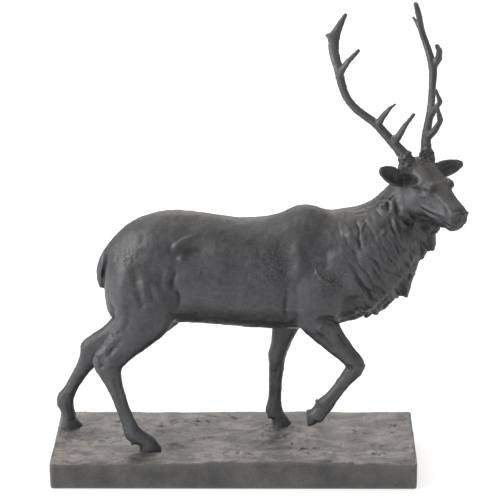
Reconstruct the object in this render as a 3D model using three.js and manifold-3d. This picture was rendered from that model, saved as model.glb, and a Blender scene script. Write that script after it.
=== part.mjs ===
// A cast iron stag, walking, with its head turned to its right, on a rectangular slab of ground.
// Millimetres, +Z up. The stag walks towards +X, and its right side faces -Y.
// The origin is the middle of the slab's underside.

import * as THREE from "three";
import { mergeVertices } from "three/addons/utils/BufferGeometryUtils.js";
import Module from "manifold-3d";

const wasm = await Module();
wasm.setup();

// Driving dimensions of the slab
const SLAB = { length: 360, depth: 120, height: 28.5, corner: 3 };
const GROUND = { dip: 1.8, cellsLong: 24, cellsDeep: 8, padInner: 18, padOuter: 30 };
const BACK_BANK = { rise: 1.6, from: 36 };
const FRONT_BANK = { rise: 2.6, from: 44, middle: -15, reach: 75 };

// The stag's own plane of symmetry, a little nearer the viewer's side of the slab
const MIDDLE = -5;

// Torso, from rump to chest: place along X, top and bottom of the section, half its width,
// and how far up the section it is widest
const TORSO = [
  { x: -124.5, top: 207, bottom: 176, half: 9, widest: 0.5 },
  { x: -121, top: 231, bottom: 163, half: 19, widest: 0.5 },
  { x: -111, top: 248, bottom: 155, half: 27, widest: 0.5 },
  { x: -92, top: 263.5, bottom: 154, half: 33, widest: 0.5 },
  { x: -62, top: 270.5, bottom: 156, half: 35, widest: 0.46 },
  { x: -30, top: 268.5, bottom: 155.5, half: 35, widest: 0.42 },
  { x: 5, top: 263, bottom: 152.5, half: 37, widest: 0.4 },
  { x: 35, top: 264.5, bottom: 150.5, half: 37, widest: 0.4 },
  { x: 56, top: 271.5, bottom: 149.5, half: 35, widest: 0.4 },
  { x: 72, top: 276.5, bottom: 149.5, half: 33, widest: 0.42 },
  { x: 92, top: 271.5, bottom: 151, half: 31, widest: 0.45 },
  { x: 112, top: 264.5, bottom: 157, half: 28, widest: 0.5 },
  { x: 130, top: 250.5, bottom: 172, half: 21, widest: 0.5 },
  { x: 141, top: 232, bottom: 192, half: 10, widest: 0.5 },
];

// Neck under its mane, from the withers to the skull: the nape's and the throat's place along X and height,
// half the width, and how far it has swung to the stag's left
const NECK = [
  { napeX: 84, nape: 269, throatX: 92, throat: 153, half: 30, swing: 0 },
  { napeX: 103, nape: 272, throatX: 113, throat: 160, half: 34, swing: 0 },
  { napeX: 121, nape: 274.8, throatX: 135, throat: 170, half: 35, swing: 0 },
  { napeX: 137, nape: 283, throatX: 155, throat: 186, half: 32, swing: 0 },
  { napeX: 148.5, nape: 294.5, throatX: 169, throat: 203, half: 28, swing: 0.5 },
  { napeX: 158, nape: 306.5, throatX: 179, throat: 222, half: 22.5, swing: 1 },
  { napeX: 164.5, nape: 316, throatX: 188, throat: 241, half: 18, swing: 2 },
  { napeX: 170, nape: 320, throatX: 194, throat: 257, half: 14, swing: 3 },
];

// Mane: rows of locks carved into the neck, lapped from the jaw down to the chest, and tufts that hang clear
// of the throat line
const MANE = { rows: 5, around: 12, facets: 3, depth: 4.2, stagger: 0.25 };
const LOCK_RINGS = [0.03, 0.35, 0.7, 0.93];
const TUFT = { width: 24, ahead: 4.5, behind: 18, swing: 1 };
const TUFTS = [
  { root: [152, 185], tip: [131, 161] },
  { root: [165, 200], tip: [147, 169.5] },
  { root: [171, 213], tip: [169, 182] },
  { root: [182.5, 243], tip: [172, 197] },
  { root: [187, 247], tip: [184, 221.5] },
  { root: [191.5, 261], tip: [194, 230.5] },
];

// Head: its frame is midway between the antlers' burrs, turned to the stag's right and tilted to its left
const HEAD = { x: 176.5, y: -8, z: 327, turn: -50, tilt: -5 };

// Skull and muzzle in the head's frame: forward and height of the face line, then of the jaw line, half the
// width, how far up it is widest, and how square its upper edges are, from 1 for round down to 0
const SKULL = [
  { faceX: -18, face: -22, jawX: -19, jaw: -49, half: 11, widest: 0.5, square: 0.85 },
  { faceX: -12, face: -7, jawX: -13, jaw: -58, half: 16, widest: 0.45, square: 0.7 },
  { faceX: -2, face: -1.5, jawX: -1, jaw: -62, half: 17, widest: 0.42, square: 0.55 },
  { faceX: 10, face: -3.5, jawX: 11, jaw: -62.5, half: 17, widest: 0.44, square: 0.45 },
  { faceX: 21, face: -9.5, jawX: 21.5, jaw: -60.5, half: 16.5, widest: 0.5, square: 0.45 },
  { faceX: 31.5, face: -16.5, jawX: 31.5, jaw: -58.5, half: 15.5, widest: 0.66, square: 0.5 },
  { faceX: 42, face: -23, jawX: 41.5, jaw: -60.5, half: 11.8, widest: 0.6, square: 0.6 },
  { faceX: 52, face: -29.8, jawX: 50, jaw: -59, half: 10.5, widest: 0.58, square: 0.6 },
  { faceX: 60.5, face: -34.5, jawX: 56, jaw: -60, half: 11.2, widest: 0.56, square: 0.62 },
  { faceX: 65.5, face: -38.8, jawX: 60.5, jaw: -58, half: 11, widest: 0.54, square: 0.66 },
  { faceX: 67.2, face: -41.8, jawX: 64.6, jaw: -53.5, half: 8.6, widest: 0.5, square: 0.75 },
];
const EYE = { forward: 31.5, out: 13.6, height: -26.5, radius: 3.8 };
const BROW = { forward: 29.5, out: 11.6, height: -21.5, long: 10, high: 5, wide: 5.6 };
const CROWN = { forward: 0, height: -11, long: 13, wide: 22.5, high: 10 };

// Ears in the head's frame: root, tip, and the greatest half-width and thickness of the leaf
const EAR = { width: 9.3, thick: 4.2, thinnest: 0.4, hollow: 3, inside: 0.78 };
const EAR_OUTLINE = [0.5, 0.72, 0.94, 1, 0.94, 0.74, 0.34];
const EARS = {
  right: { root: [0, 11, -24.5], tip: [3, 50.5, -7] },
  left: { root: [0, 11, -20], tip: [10, 52.5, -11.5] },
};

// Antlers in the head's frame: forward, outward, up.
// Half-sizes along the beam are across its flat and through it.
const BURR = { radius: 8.4, height: 3 };
const BEAM = [
  { at: [3, 13, -9], flat: 7.6, through: 7.6 },
  { at: [-1.5, 14, 0], flat: 6.4, through: 6.4 },
  { at: [-11, 20.5, 11], flat: 5.2, through: 5 },
  { at: [-18, 28.5, 21.5], flat: 4.7, through: 4.4 },
  { at: [-25, 37, 31.5], flat: 4.4, through: 4.1 },
  { at: [-36.5, 49, 42], flat: 4.1, through: 4 },
  { at: [-44.5, 56.2, 53.5], flat: 4.1, through: 4 },
  { at: [-49, 59.8, 67], flat: 4.5, through: 4.1 },
  { at: [-54.8, 59.9, 80], flat: 5, through: 3.6 },
  { at: [-62.2, 59.6, 92], flat: 5.4, through: 3.2 },
  { at: [-66.9, 56.8, 104], flat: 5.8, through: 2.9 },
  { at: [-65.5, 52.5, 116.5], flat: 4, through: 2.6 },
  { at: [-64.2, 45.9, 128.5], flat: 1.9, through: 1.7 },
];
const TINES = [
  {
    path: [[-10, 21.5, 13], [-2, 23.5, 23], [4, 23, 33]],
    tip: { right: [6.5, 14.5, 44.5], left: [5.5, 14.5, 50] },
    radius: 4,
  },
  {
    path: [[-22, 34, 29], [-15, 34, 39.5], [-8.5, 33, 47.5]],
    tip: { right: [-7.5, 26, 52], left: [-9, 25.5, 60.5] },
    radius: 3.5,
  },
  {
    path: [[-51.5, 61.5, 69], [-45.5, 62.8, 80], [-42, 59.5, 88]],
    tip: { right: [-38, 49.5, 99.5], left: [-39, 51.5, 95] },
    radius: 4,
  },
  {
    path: [[-68.5, 58, 104.5], [-70.5, 58.2, 105.5], [-72.5, 58.2, 106.5]],
    tip: { right: [-78, 57.7, 105.5], left: [-79, 57, 113] },
    radius: 2.5,
  },
];
const TINE_TAPER = [1, 0.95, 0.8, 0.5];

// Legs: the chain of joints from the top down, then the girth along it. Side places are measured from MIDDLE,
// negative to the stag's right. Girths are half-depths ahead of and behind the bone, and half the width.
const FORELEGS = {
  right: [
    [85, -12, 250],
    [86, -25, 206],
    [82, -26, 168],
    [119.8, -26, 119.5],
    [89.5, -25, 77],
    [79.5, -25, 66],
  ],
  left: [
    [76, 12, 250],
    [76, 24, 206],
    [57, 25, 160],
    [42, 25, 110],
    [39.5, 25, 50],
    [46.5, 25, 38],
  ],
};
const FORE_GIRTH = [
  { along: 0, front: 14, back: 14, side: 7 },
  { along: 0.5, front: 25, back: 25, side: 12 },
  { along: 1, front: 28, back: 30, side: 14 },
  { along: 1.6, front: 24, back: 27, side: 14 },
  { along: 2, front: 19, back: 20, side: 13 },
  { along: 2.5, front: 13, back: 13, side: 10.5 },
  { along: 2.82, front: 10.8, back: 8.6, side: 8.6 },
  { along: 3, front: 10.5, back: 8.8, side: 8.4 },
  { along: 3.2, front: 9, back: 7.6, side: 7.4 },
  { along: 3.5, front: 7.8, back: 6.4, side: 6 },
  { along: 3.8, front: 7.6, back: 6.8, side: 6 },
  { along: 4, front: 9, back: 9.4, side: 7.2 },
  { along: 4.6, front: 7.5, back: 7.5, side: 7.4 },
  { along: 5, front: 8, back: 7.5, side: 7.8 },
];
const HINDLEGS = {
  right: [
    [-84, -12, 246],
    [-85, -23, 206],
    [-85, -24, 172],
    [-123, -26, 120],
    [-98, -28, 47],
    [-84, -28, 38],
  ],
  left: [
    [-84, 12, 246],
    [-85, 22, 206],
    [-78, 23, 160],
    [-141, 24, 113],
    [-171, 25, 60],
    [-167.5, 25, 42],
  ],
};
const HIND_GIRTH = [
  { along: 0, front: 18, back: 18, side: 8 },
  { along: 0.5, front: 30, back: 30, side: 14 },
  { along: 1, front: 33, back: 34, side: 17 },
  { along: 1.6, front: 32, back: 32.5, side: 16.5 },
  { along: 2, front: 30, back: 29.5, side: 15 },
  { along: 2.35, front: 24, back: 22.5, side: 12.5 },
  { along: 2.7, front: 16.5, back: 16.5, side: 9.8 },
  { along: 2.95, front: 13, back: 17, side: 8.4 },
  { along: 3.12, front: 11.4, back: 11.6, side: 7.6 },
  { along: 3.35, front: 8, back: 8.6, side: 6.6 },
  { along: 3.65, front: 6.1, back: 7.8, side: 5.9 },
  { along: 3.85, front: 7.2, back: 8, side: 6.2 },
  { along: 4, front: 9.6, back: 9.6, side: 7.4 },
  { along: 4.6, front: 8, back: 7.6, side: 7.4 },
  { along: 5, front: 8, back: 7.5, side: 7.8 },
];

// Cloven hoof: toe, heel and half-width at levels up from the sole, and the cleft between its claws.
// A lifted hoof has its sole swung back from level, and is cast smaller.
const HOOF = { drop: 10, cleft: 1.8, cleftReach: 14 };
const HOOF_LEVELS = [
  { up: 0, toe: 15, heel: 9, half: 8 },
  { up: 3.5, toe: 13.6, heel: 9.4, half: 8.2 },
  { up: 9, toe: 9.6, heel: 8.8, half: 7.8 },
  { up: 14, toe: 6.4, heel: 6, half: 6.4 },
];
const STANDING = { turn: 0, size: 1 };
const LIFTED = { turn: 85, size: 0.78 };
const DEWCLAW = { radius: 2.6, out: 4, behind: 7.5, below: 3 };

const TAIL = {
  line: [[-108, 247], [-120, 230], [-127.5, 209], [-127.5, 191.5]],
  shares: [0.6, 0.85, 1, 0.42],
  width: 8,
  thick: 6.4,
};

// Facets round each form, and steps smoothed into each gap between its stations
const STEPS = { torso: 2, neck: 24, leg: 2, head: 2, beam: 2, tail: 2 };
const SIDES = { torso: 18, head: 14, leg: 8, hoof: 10, antler: 7, tine: 5, tuft: 6, ear: 8, tail: 6 };
const IRON = new THREE.MeshStandardMaterial({ color: 0x3b3c3e, roughness: 0.62, metalness: 0.35 });
const WORN_IRON = new THREE.MeshStandardMaterial({ color: 0x4c4a48, roughness: 0.7, metalness: 0.3 });

const vec = (x, y, z) => new THREE.Vector3(x, y, z);
const ACROSS = vec(0, 1, 0);
const RADIANS = Math.PI / 180;

// Catmull-Rom through rows of numbers, with the given steps in each gap
function smoothRows(rows, steps) {
  const pick = (i) => rows[THREE.MathUtils.clamp(i, 0, rows.length - 1)];
  const smooth = [];
  for (let i = 0; i < rows.length - 1; i++) {
    const [before, here, next, after] = [pick(i - 1), pick(i), pick(i + 1), pick(i + 2)];
    for (let s = 0; s < steps; s++) {
      const t = s / steps;
      smooth.push(
        here.map((_, k) => {
          const leave = (next[k] - before[k]) / 2;
          const arrive = (after[k] - here[k]) / 2;
          const rise = next[k] - here[k];
          return here[k] + t * (leave + t * (3 * rise - 2 * leave - arrive + t * (leave + arrive - 2 * rise)));
        }),
      );
    }
  }
  smooth.push(pick(rows.length - 1));
  return smooth;
}

// A point on an egg-shaped section, at an angle from its side towards its upper edge
function onSection(section, angle) {
  const { centre, up, side, over, under, half, square = 1 } = section;
  const rise = Math.sin(angle);
  const power = rise > 0 ? square : 1;
  const bulge = (value) => Math.sign(value) * Math.abs(value) ** power;
  return centre
    .clone()
    .addScaledVector(side, half * bulge(Math.cos(angle)))
    .addScaledVector(up, (rise > 0 ? over : under) * bulge(rise));
}

// A section between its upper and lower edge points, widest part of the way up
function sectionBetween(top, bottom, side, half, widest) {
  const up = top.clone().sub(bottom);
  const height = up.length();
  const centre = bottom.clone().addScaledVector(up, widest);
  return { centre, up: up.normalize(), side, half, over: height * (1 - widest), under: height * widest };
}

// A closed skin over rings of points, with a fan over each end
function skin(rings) {
  const sides = rings[0].length;
  const middle = (points) => points.reduce((sum, p) => sum.add(p), vec(0, 0, 0)).divideScalar(sides);
  const points = [...rings.flat(), middle(rings[0]), middle(rings.at(-1))];
  const [firstEnd, lastEnd] = [points.length - 2, points.length - 1];
  const lastRing = (rings.length - 1) * sides;
  const index = [];
  for (let k = 0; k < sides; k++) {
    const next = (k + 1) % sides;
    index.push(firstEnd, next, k, lastEnd, lastRing + k, lastRing + next);
    for (let row = 0; row < lastRing; row += sides) {
      index.push(row + k, row + next, row + sides + k);
      index.push(row + next, row + sides + next, row + sides + k);
    }
  }
  return new THREE.BufferGeometry().setFromPoints(points).setIndex(index);
}

// A geometry as a solid, turned outside out if its rings ran the other way
function solid(geometry) {
  const bare = geometry.clone();
  bare.deleteAttribute("normal");
  bare.deleteAttribute("uv");
  const merged = mergeVertices(bare, 1e-4);
  const vertProperties = merged.getAttribute("position").array;
  const triVerts = new Uint32Array(merged.index.array);
  const made = new wasm.Manifold(new wasm.Mesh({ numProp: 3, vertProperties, triVerts }));
  if (made.volume() > 0) return made;
  triVerts.reverse();
  return new wasm.Manifold(new wasm.Mesh({ numProp: 3, vertProperties, triVerts }));
}

const loft = (sections, sides) =>
  skin(
    sections.map((section) =>
      Array.from({ length: sides }, (_, k) => onSection(section, (2 * Math.PI * k) / sides)),
    ),
  );

const joinAll = (solids) => solids.reduce((whole, piece) => whole.add(piece));

function geometryOf(made) {
  const { vertProperties, triVerts } = made.getMesh();
  return new THREE.BufferGeometry()
    .setAttribute("position", new THREE.BufferAttribute(vertProperties, 3))
    .setIndex(new THREE.BufferAttribute(triVerts, 1));
}

// A horn along a curve, with half-sizes across and through it at each of its points
function horn(points, halves, sides, steps, across = ACROSS) {
  const rows = smoothRows(
    points.map((point, i) => [...point, ...halves[i]]),
    steps,
  );
  const centres = rows.map(([x, y, z]) => vec(x, y, z));
  let side = across;
  const sections = centres.map((centre, i) => {
    const ahead = centres[Math.min(i + 1, centres.length - 1)].clone();
    const along = ahead.sub(centres[Math.max(i - 1, 0)]).normalize();
    side = side.clone().addScaledVector(along, -side.dot(along)).normalize();
    const [half, through] = rows[i].slice(3);
    return { centre, up: along.clone().cross(side), side, half, over: through, under: through };
  });
  return loft(sections, sides);
}

function ellipsoid(centre, [x, y, z], around = 8, tall = 5) {
  return new THREE.SphereGeometry(1, around, tall).scale(x, y, z).translate(centre.x, centre.y, centre.z);
}

// Body

function torso() {
  const rows = smoothRows(
    TORSO.map((s) => [s.x, s.top, s.bottom, s.half, s.widest]),
    STEPS.torso,
  );
  const sections = rows.map(([x, top, bottom, half, widest]) =>
    sectionBetween(vec(x, MIDDLE, top), vec(x, MIDDLE, bottom), ACROSS, half, widest),
  );
  return solid(loft(sections, SIDES.torso));
}

function neckSections() {
  const rows = smoothRows(
    NECK.map((s) => [s.napeX, s.nape, s.throatX, s.throat, s.half, MIDDLE + s.swing]),
    STEPS.neck,
  );
  return rows.map(([napeX, nape, throatX, throat, half, y]) =>
    sectionBetween(vec(napeX, y, nape), vec(throatX, y, throat), ACROSS, half, 0.5),
  );
}

// How far a lock stands out of the neck, `along` its length from root to tip and across its width.
// Locks narrow to their tips and fade out towards the nape.
function lockRelief(along, across, angle) {
  const ridge = Math.sin(Math.PI * (across - Math.floor(across)));
  const nape = THREE.MathUtils.smoothstep(Math.sin(angle), 0.45, 0.9);
  return MANE.depth * (1 - nape) * (0.2 + 0.8 * along) * ridge ** (0.5 + 1.2 * along);
}

// Rings that run from the jaw down to the chest. Every other lock round the neck starts half a row lower.
function neck() {
  const sections = neckSections();
  const last = sections.length - 1;
  const sides = MANE.around * MANE.facets;
  const rings = [];
  for (let row = 0; row < MANE.rows; row++) {
    for (const along of LOCK_RINGS) {
      const ring = [];
      for (let k = 0; k < sides; k++) {
        const angle = (2 * Math.PI * k) / sides;
        const across = k / MANE.facets;
        const lower = MANE.stagger * Math.sin(Math.PI * across);
        const share = THREE.MathUtils.clamp((row + along + lower) / MANE.rows, 0, 1);
        const section = sections[Math.round(last * (1 - share))];
        const point = onSection(section, angle);
        const outward = point.clone().sub(section.centre).normalize();
        ring.push(point.addScaledVector(outward, lockRelief(along, across, angle)));
      }
      rings.push(ring);
    }
  }
  return solid(skin(rings));
}

// A tuft that hangs clear of the throat: a ridged leaf from its root, over a swell, to its tip
function tuft({ root, tip }) {
  const [from, to] = [root, tip].map(([x, z]) => vec(x, MIDDLE + TUFT.swing, z));
  const inward = from.clone().sub(to).cross(ACROSS).normalize();
  const spread = [0.6, 1, 0.85, 0.4];
  const sections = spread.map((share, i) => ({
    centre: from.clone().lerp(to, i / (spread.length - 1)),
    up: inward,
    side: ACROSS,
    half: (TUFT.width / 2) * share,
    over: TUFT.behind * share,
    under: TUFT.ahead * share,
  }));
  return solid(loft(sections, SIDES.tuft));
}

function tail() {
  const line = TAIL.line.map(([x, z]) => [x, MIDDLE, z]);
  const halves = TAIL.shares.map((share) => [TAIL.width * share, TAIL.thick * share]);
  return solid(horn(line, halves, SIDES.tail, STEPS.tail));
}

// Legs

// A place along a chain of joints, where 2.5 is half way from the third joint to the fourth
function onChain(joints, along) {
  const bone = Math.min(Math.floor(along), joints.length - 2);
  return joints[bone].map((value, k) => THREE.MathUtils.lerp(value, joints[bone + 1][k], along - bone));
}

function leg(joints, girth) {
  const rows = smoothRows(
    girth.map((g) => [...onChain(joints, g.along), g.front, g.back, g.side]),
    STEPS.leg,
  );
  const sections = rows.map(([x, y, z, front, back, half], i) => {
    const after = rows[Math.min(i + 1, rows.length - 1)];
    const before = rows[Math.max(i - 1, 0)];
    const down = vec(after[0] - before[0], 0, after[2] - before[2]).normalize();
    const ahead = vec(-down.z, 0, down.x);
    return { centre: vec(x, MIDDLE + y, z), up: ahead, side: ACROSS, half, over: front, under: back };
  });
  return solid(loft(sections, SIDES.leg));
}

// A hoof in its own frame, with the toe along +X and the sole level at z = 0
function hoof() {
  const sections = HOOF_LEVELS.map(({ up, toe, heel, half }) => ({
    centre: vec(0, 0, up),
    up: vec(1, 0, 0),
    side: ACROSS,
    half,
    over: toe,
    under: heel,
  }));
  const toeTip = HOOF_LEVELS[0].toe;
  const cleft = new THREE.ConeGeometry(HOOF.cleft, HOOF.cleftReach, 4)
    .rotateZ(Math.PI / 2)
    .scale(1, 1, HOOF_LEVELS.at(-1).up)
    .translate(toeTip - HOOF.cleftReach / 3, 0, 0);
  return solid(loft(sections, SIDES.hoof)).subtract(solid(cleft));
}

// The hoof and dewclaws at the end of a leg. A standing hoof has its sole on the ground.
function foot(joints, { turn, size }) {
  const [fetlockX, fetlockY, fetlockZ] = joints.at(-2);
  const [endX, endY, endZ] = joints.at(-1);
  const place = new THREE.Matrix4().makeRotationY(turn * RADIANS).scale(vec(size, size, size));
  const sole = vec(0, 0, -HOOF.drop).applyMatrix4(place);
  const soleZ = turn === 0 ? SLAB.height : endZ + sole.z;
  place.setPosition(endX + sole.x, MIDDLE + endY, soleZ);
  const placed = solid(geometryOf(hoof()).applyMatrix4(place));
  const down = vec(endX - fetlockX, 0, endZ - fetlockZ).normalize();
  const behind = vec(down.z, 0, -down.x);
  const { radius } = DEWCLAW;
  const dewclaws = [-1, 1].map((hand) => {
    const centre = vec(fetlockX, MIDDLE + fetlockY + hand * DEWCLAW.out, fetlockZ)
      .addScaledVector(behind, DEWCLAW.behind)
      .addScaledVector(down, DEWCLAW.below);
    return solid(ellipsoid(centre, [radius, radius * 0.8, radius * 1.3], 5, 3));
  });
  return joinAll([placed, ...dewclaws]);
}

// Head, built facing +X in its own frame and then turned to look to the stag's right

function skull() {
  const rows = smoothRows(
    SKULL.map((s) => [s.faceX, s.face, s.jawX, s.jaw, s.half, s.widest, s.square]),
    STEPS.head,
  );
  const sections = rows.map(([faceX, face, jawX, jaw, half, widest, square]) => ({
    ...sectionBetween(vec(faceX, 0, face), vec(jawX, 0, jaw), ACROSS, half, widest),
    square,
  }));
  return loft(sections, SIDES.head);
}

// A leaf-shaped ear, hollowed on the side that faces forward
function ear(hand, { root: [rootX, rootY, rootZ], tip: [tipX, tipY, tipZ] }) {
  const root = vec(rootX, hand * rootY, rootZ);
  const end = vec(tipX, hand * tipY, tipZ);
  const along = end.clone().sub(root).normalize();
  const facing = vec(1, 0, 0.15);
  const front = facing.clone().addScaledVector(along, -along.dot(facing)).normalize();
  const side = along.clone().cross(front);
  const leaf = (scale, shift) =>
    EAR_OUTLINE.map((share, i) => ({
      centre: root
        .clone()
        .lerp(end, i / (EAR_OUTLINE.length - 1))
        .addScaledVector(front, shift),
      up: front,
      side,
      half: EAR.width * share * scale,
      over: EAR.thick * Math.max(share, EAR.thinnest) * scale,
      under: EAR.thick * Math.max(share, EAR.thinnest) * scale,
    }));
  const outer = solid(loft(leaf(1, 0), SIDES.ear));
  const hollow = solid(loft(leaf(EAR.inside, EAR.hollow).slice(1), SIDES.ear));
  return outer.subtract(hollow);
}

// Pedicle, burr, beam and tines of one antler, its flat lying from forward and inward to back and outward
function antler(side) {
  const hand = side === "right" ? -1 : 1;
  const place = ([forward, out, up]) => [forward, hand * out, up];
  const flat = vec(0.64, hand * -0.77, 0);
  const beam = horn(
    BEAM.map((b) => place(b.at)),
    BEAM.map((b) => [b.flat, b.through]),
    SIDES.antler,
    STEPS.beam,
    flat,
  );
  const [foot, rise] = [1, 2].map((k) => vec(...place(BEAM[k].at)));
  const along = rise.sub(foot).setLength(BURR.height);
  const rings = [-1, 0, 1].map((k) => foot.clone().addScaledVector(along, k).toArray());
  const burrHalves = [0.8, 1, 0.8].map((share) => [BURR.radius * share, BURR.radius * share]);
  const burr = horn(rings, burrHalves, SIDES.ear, 1);
  const tines = TINES.map(({ path, tip, radius }) => {
    const halves = TINE_TAPER.map((share) => [radius * share, radius * share]);
    return horn([...path, tip[side]].map(place), halves, SIDES.tine, 1);
  });
  return joinAll([beam, burr, ...tines].map(solid));
}

function head() {
  const pair = (make) => [-1, 1].map(make);
  const eyes = pair((hand) =>
    ellipsoid(vec(EYE.forward, hand * EYE.out, EYE.height), [EYE.radius * 1.15, EYE.radius, EYE.radius * 0.95]),
  );
  const brows = pair((hand) =>
    ellipsoid(vec(BROW.forward, hand * BROW.out, BROW.height), [BROW.long, BROW.wide, BROW.high]),
  );
  const crown = ellipsoid(vec(CROWN.forward, 0, CROWN.height), [CROWN.long, CROWN.wide, CROWN.high], 10, 6);
  const whole = joinAll([
    ...[skull(), crown, ...eyes, ...brows].map(solid),
    ear(-1, EARS.right),
    ear(1, EARS.left),
    antler("right"),
    antler("left"),
  ]);
  const turned = new THREE.Euler(HEAD.tilt * RADIANS, 0, HEAD.turn * RADIANS, "ZYX");
  const place = new THREE.Matrix4().makeRotationFromEuler(turned).setPosition(HEAD.x, HEAD.y, HEAD.z);
  return solid(geometryOf(whole).applyMatrix4(place));
}

// Slab with a lumpy top, level where each hoof stands

const HOOFPRINTS = [FORELEGS.left, HINDLEGS.right, HINDLEGS.left].map((joints) => joints.at(-1));

// Waves of the ground, all below the level that the hooves stand on, and low banks along its long edges
function groundHeight(x, y) {
  const broad = Math.sin(x / 17 + 0.6 * Math.sin(y / 13)) * Math.cos(y / 15 + x / 61);
  const small = Math.sin(x / 9 - y / 8) * Math.cos(y / 11 + x / 23);
  const dip = 0.5 - 0.3 * broad - 0.2 * small;
  const clear = HOOFPRINTS.map(([px, py]) => Math.hypot(x - px, y - MIDDLE - py));
  const open = THREE.MathUtils.smoothstep(Math.min(...clear), GROUND.padInner, GROUND.padOuter);
  const edge = SLAB.depth / 2;
  const back = BACK_BANK.rise * THREE.MathUtils.smoothstep(y, BACK_BANK.from, edge);
  const along = (x - FRONT_BANK.middle) / FRONT_BANK.reach;
  const toFront = THREE.MathUtils.smoothstep(-y, FRONT_BANK.from, edge);
  const front = FRONT_BANK.rise * Math.exp(-(along ** 2)) * toFront;
  return back + (front - GROUND.dip * dip) * open;
}

function slab() {
  const { length, depth, height, corner } = SLAB;
  const [x, y] = [length / 2, depth / 2];
  const outline = new THREE.Shape()
    .moveTo(-x + corner, -y)
    .lineTo(x - corner, -y)
    .absarc(x - corner, -y + corner, corner, -Math.PI / 2, 0)
    .lineTo(x, y - corner)
    .absarc(x - corner, y - corner, corner, 0, Math.PI / 2)
    .lineTo(-x + corner, y)
    .absarc(-x + corner, y - corner, corner, Math.PI / 2, Math.PI)
    .lineTo(-x, -y + corner)
    .absarc(-x + corner, -y + corner, corner, Math.PI, 1.5 * Math.PI);
  const block = new THREE.ExtrudeGeometry(outline, { depth: height * 1.5, bevelEnabled: false, curveSegments: 4 });
  const spare = 10;
  const ground = new THREE.BoxGeometry(
    length + spare,
    depth + spare,
    height * 2,
    GROUND.cellsLong,
    GROUND.cellsDeep,
  );
  const places = ground.getAttribute("position");
  for (let i = 0; i < places.count; i++) {
    if (places.getZ(i) > 0) places.setZ(i, height + groundHeight(places.getX(i), places.getY(i)));
  }
  return solid(block).intersect(solid(ground));
}

function stag() {
  const feet = [
    foot(FORELEGS.right, LIFTED),
    foot(FORELEGS.left, STANDING),
    foot(HINDLEGS.right, STANDING),
    foot(HINDLEGS.left, STANDING),
  ];
  return joinAll([
    torso(),
    neck(),
    ...TUFTS.map(tuft),
    tail(),
    head(),
    ...Object.values(FORELEGS).map((joints) => leg(joints, FORE_GIRTH)),
    ...Object.values(HINDLEGS).map((joints) => leg(joints, HIND_GIRTH)),
    ...feet,
  ]);
}

function named(name, made, material) {
  const mesh = new THREE.Mesh(geometryOf(made), material);
  mesh.name = name;
  return mesh;
}

const statue = new THREE.Group();
statue.add(named("stag", stag(), IRON), named("base", slab(), WORN_IRON));

export default statue;
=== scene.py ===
import math

import bpy
import numpy as np
from mathutils import Matrix, Vector, noise
from mathutils.bvhtree import BVHTree


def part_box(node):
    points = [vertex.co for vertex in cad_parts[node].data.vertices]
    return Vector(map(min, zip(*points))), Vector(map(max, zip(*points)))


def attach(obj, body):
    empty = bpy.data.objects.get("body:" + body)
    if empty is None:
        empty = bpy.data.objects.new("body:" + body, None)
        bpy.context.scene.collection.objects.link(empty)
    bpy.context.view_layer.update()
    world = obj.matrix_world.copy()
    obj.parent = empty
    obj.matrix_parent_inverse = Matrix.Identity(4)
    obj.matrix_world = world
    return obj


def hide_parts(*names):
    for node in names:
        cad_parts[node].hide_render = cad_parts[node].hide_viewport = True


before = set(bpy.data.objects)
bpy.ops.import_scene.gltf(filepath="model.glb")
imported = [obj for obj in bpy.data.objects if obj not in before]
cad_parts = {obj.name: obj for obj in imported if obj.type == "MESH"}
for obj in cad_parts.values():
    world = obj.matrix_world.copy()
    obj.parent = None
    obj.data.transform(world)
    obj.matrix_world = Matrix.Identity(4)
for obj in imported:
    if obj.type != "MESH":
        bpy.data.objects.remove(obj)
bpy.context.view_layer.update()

# The view: a long lens about two metres off the stag's right side, looking down by some twenty degrees.
# The picture is square.
lens_place = Vector((0.05325, -1.96388, 0.95999))
pitch, yaw, roll = math.radians(20.4215), math.radians(1.0589), math.radians(-0.3996)
ahead = Vector((-math.sin(yaw) * math.cos(pitch), math.cos(yaw) * math.cos(pitch), -math.sin(pitch)))
level_right = Vector((math.cos(yaw), math.sin(yaw), 0))
level_up = level_right.cross(ahead)
right = math.cos(roll) * level_right + math.sin(roll) * level_up
upward = -math.sin(roll) * level_right + math.cos(roll) * level_up

bpy.ops.object.select_all(action="DESELECT")
bpy.ops.object.camera_add()
camera = bpy.context.object
camera.name = "camera"
camera.data.sensor_width = 36
camera.data.lens = 155.52
turned = Matrix((right, upward, -ahead)).transposed()
camera.matrix_world = Matrix.Translation(lens_place) @ turned.to_4x4()
camera.data.clip_end = 50
bpy.context.scene.camera = camera
bpy.context.scene.view_settings.view_transform = "Standard"

# The studio: a plain white table under wide, soft lamps, so that the iron has gentle shading and hardly
# any shadow on the ground.
bpy.ops.mesh.primitive_plane_add(size=16, location=(0, 3, 0))
floor = bpy.context.object
floor.name = "floor"
bpy.ops.object.transform_apply(location=True, rotation=True, scale=True)
floor_paint = bpy.data.materials.new("white_table")
floor_paint.use_nodes = True
floor_shader = floor_paint.node_tree.nodes["Principled BSDF"]
floor_shader.inputs["Base Color"].default_value = (0.42, 0.42, 0.42, 1)
floor_shader.inputs["Roughness"].default_value = 0.9
floor_shader.inputs["Specular IOR Level"].default_value = 0.1
floor_shader.inputs["Emission Color"].default_value = (1, 1, 1, 1)
floor_shader.inputs["Emission Strength"].default_value = 0.6
floor.data.materials.append(floor_paint)

sky = bpy.data.worlds.new("studio_air")
sky.use_nodes = True
sky.node_tree.nodes["Background"].inputs["Color"].default_value = (1, 1, 1, 1)
sky.node_tree.nodes["Background"].inputs["Strength"].default_value = 0.46
bpy.context.scene.world = sky


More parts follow.
